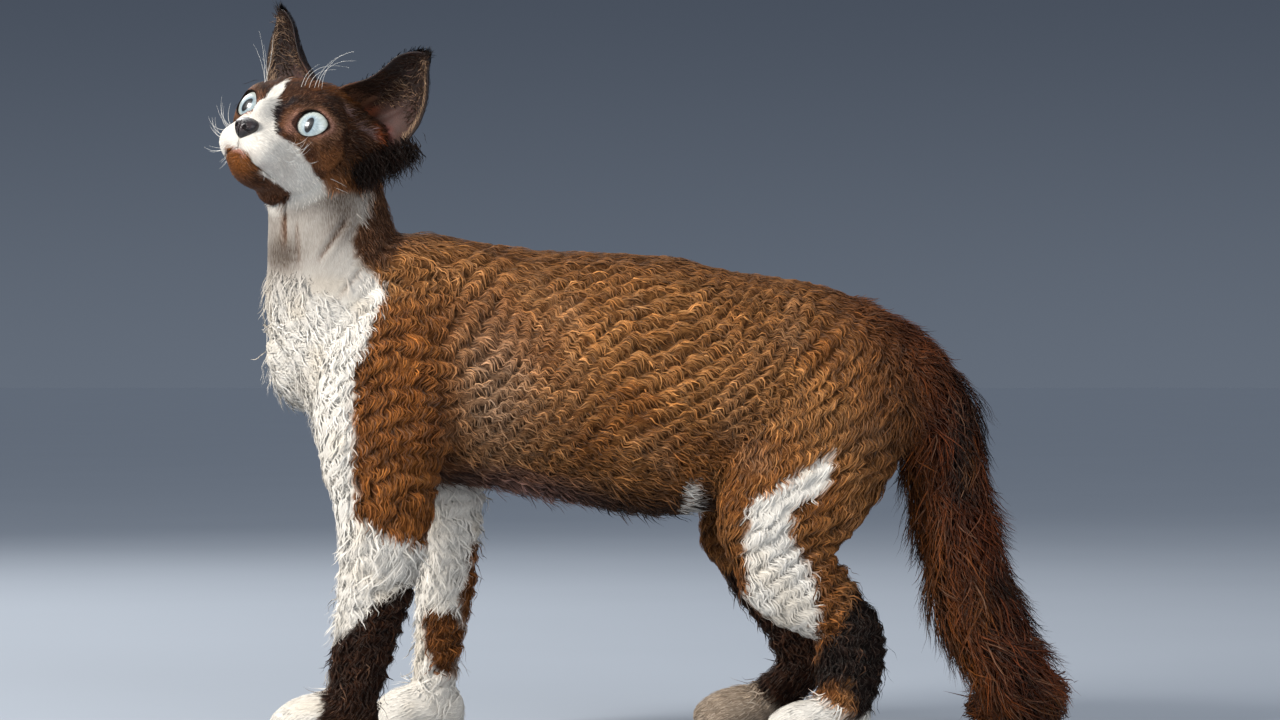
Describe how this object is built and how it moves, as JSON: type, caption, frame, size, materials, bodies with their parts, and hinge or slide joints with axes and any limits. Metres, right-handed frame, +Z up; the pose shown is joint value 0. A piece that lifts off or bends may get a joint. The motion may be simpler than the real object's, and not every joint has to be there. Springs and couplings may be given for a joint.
{
  "type": "devon rex cat",
  "caption": "Life-size still model of a standing Devon Rex cat with a wavy coat, its head raised and turned to its left.",
  "frame": {"origin": "on the floor below the middle of the cat's box seen from above", "axes": "-X towards the cat's chest and head, -Y to the cat's left, towards which it turns its head, +Z up"},
  "size_m": [0.4688, 0.1356, 0.4031],
  "materials": {
    "brown_coat": "caramel brown wavy fur, matt",
    "white_coat": "white wavy fur, matt",
    "seal_coat": "dark seal brown fur, matt",
    "ear_skin": "thin skin with sparse dark fur outside and pinkish grey inside",
    "nose_leather": "moist dark brown nose leather",
    "eye": "pale ice blue iris with a black pupil, wet gloss"
  },
  "bodies": {
    "root": {"head": "seal_coat", "nose": "nose_leather", "eye_left": "eye", "eye_right": "eye", "ear_left": "ear_skin", "ear_right": "ear_skin", "neck": "white_coat", "torso": "brown_coat", "tail_base": "seal_coat", "tail_middle": "seal_coat", "tail_tip": "seal_coat", "foreleg_left_upper": "white_coat", "foreleg_left_lower": "seal_coat", "forepaw_left": "white_coat", "foreleg_right_upper": "white_coat", "foreleg_right_lower": "white_coat", "forepaw_right": "white_coat", "thigh_left": "brown_coat", "shank_left": "seal_coat", "hindpaw_left": "seal_coat", "thigh_right": "brown_coat", "shank_right": "seal_coat", "hindpaw_right": "white_coat"}
  },
  "joints": []
}
